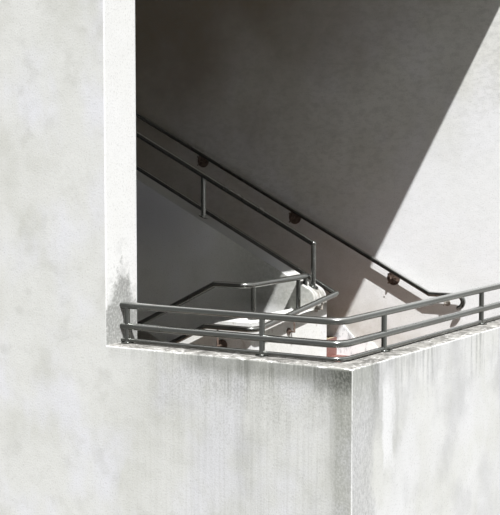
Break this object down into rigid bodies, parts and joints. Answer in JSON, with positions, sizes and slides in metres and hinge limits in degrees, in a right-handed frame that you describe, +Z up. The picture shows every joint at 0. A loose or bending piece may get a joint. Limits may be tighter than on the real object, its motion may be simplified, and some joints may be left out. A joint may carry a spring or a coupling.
{
  "type": "fire escape stair",
  "caption": "Open-cornered concrete stair tower with a dog-leg stair, solid inner parapets, tubular guard rails and bracketed handrails.",
  "frame": {"origin": "middle of the footprint at ground level, under the whole block", "axes": "+X to the right along the front face, -Y out of the front face, +Z up"},
  "size_m": [5.9, 3.905, 6.23],
  "materials": {
    "painted_render": "matt off-white paint on render, streaked",
    "red_floor": "worn red floor paint on concrete",
    "steel_tube": "satin grey tube",
    "rusty_plate": "rusted",
    "white_skirting": "white painted cement"
  },
  "bodies": {
    "root": {"ground_floor_slab": "red_floor", "front_wall": "painted_render", "front_parapet": "painted_render", "right_parapet": "painted_render", "back_wall": "painted_render", "left_wall_front_part": "painted_render", "left_wall_back_part": "painted_render", "left_wall_ground_lintel": "painted_render", "left_wall_top_lintel": "painted_render", "half_landing": "red_floor", "floor_landing": "red_floor", "roof_slab": "painted_render", "lower_flight": "red_floor", "upper_flight": "red_floor", "lower_inner_parapet": "painted_render", "upper_inner_parapet": "painted_render", "well_end_parapet": "painted_render", "floor_landing_parapet": "painted_render", "guard_top_rail": "steel_tube", "guard_mid_rail": "steel_tube", "guard_base_tube": "steel_tube", "guard_posts": "steel_tube", "guard_post_flanges": "steel_tube", "lower_inner_rail": "steel_tube", "lower_inner_posts": "steel_tube", "lower_inner_flanges": "steel_tube", "upper_inner_rail": "steel_tube", "upper_inner_posts": "steel_tube", "upper_inner_flanges": "steel_tube", "inner_handrail": "steel_tube", "inner_handrail_brackets": "rusty_plate", "upper_wall_handrail": "steel_tube", "upper_wall_brackets": "rusty_plate", "lower_wall_handrail": "steel_tube", "lower_wall_brackets": "rusty_plate", "upper_flight_skirting": "white_skirting", "lower_flight_skirting": "white_skirting", "half_landing_skirting": "white_skirting", "floor_landing_skirting": "white_skirting"}
  },
  "joints": []
}
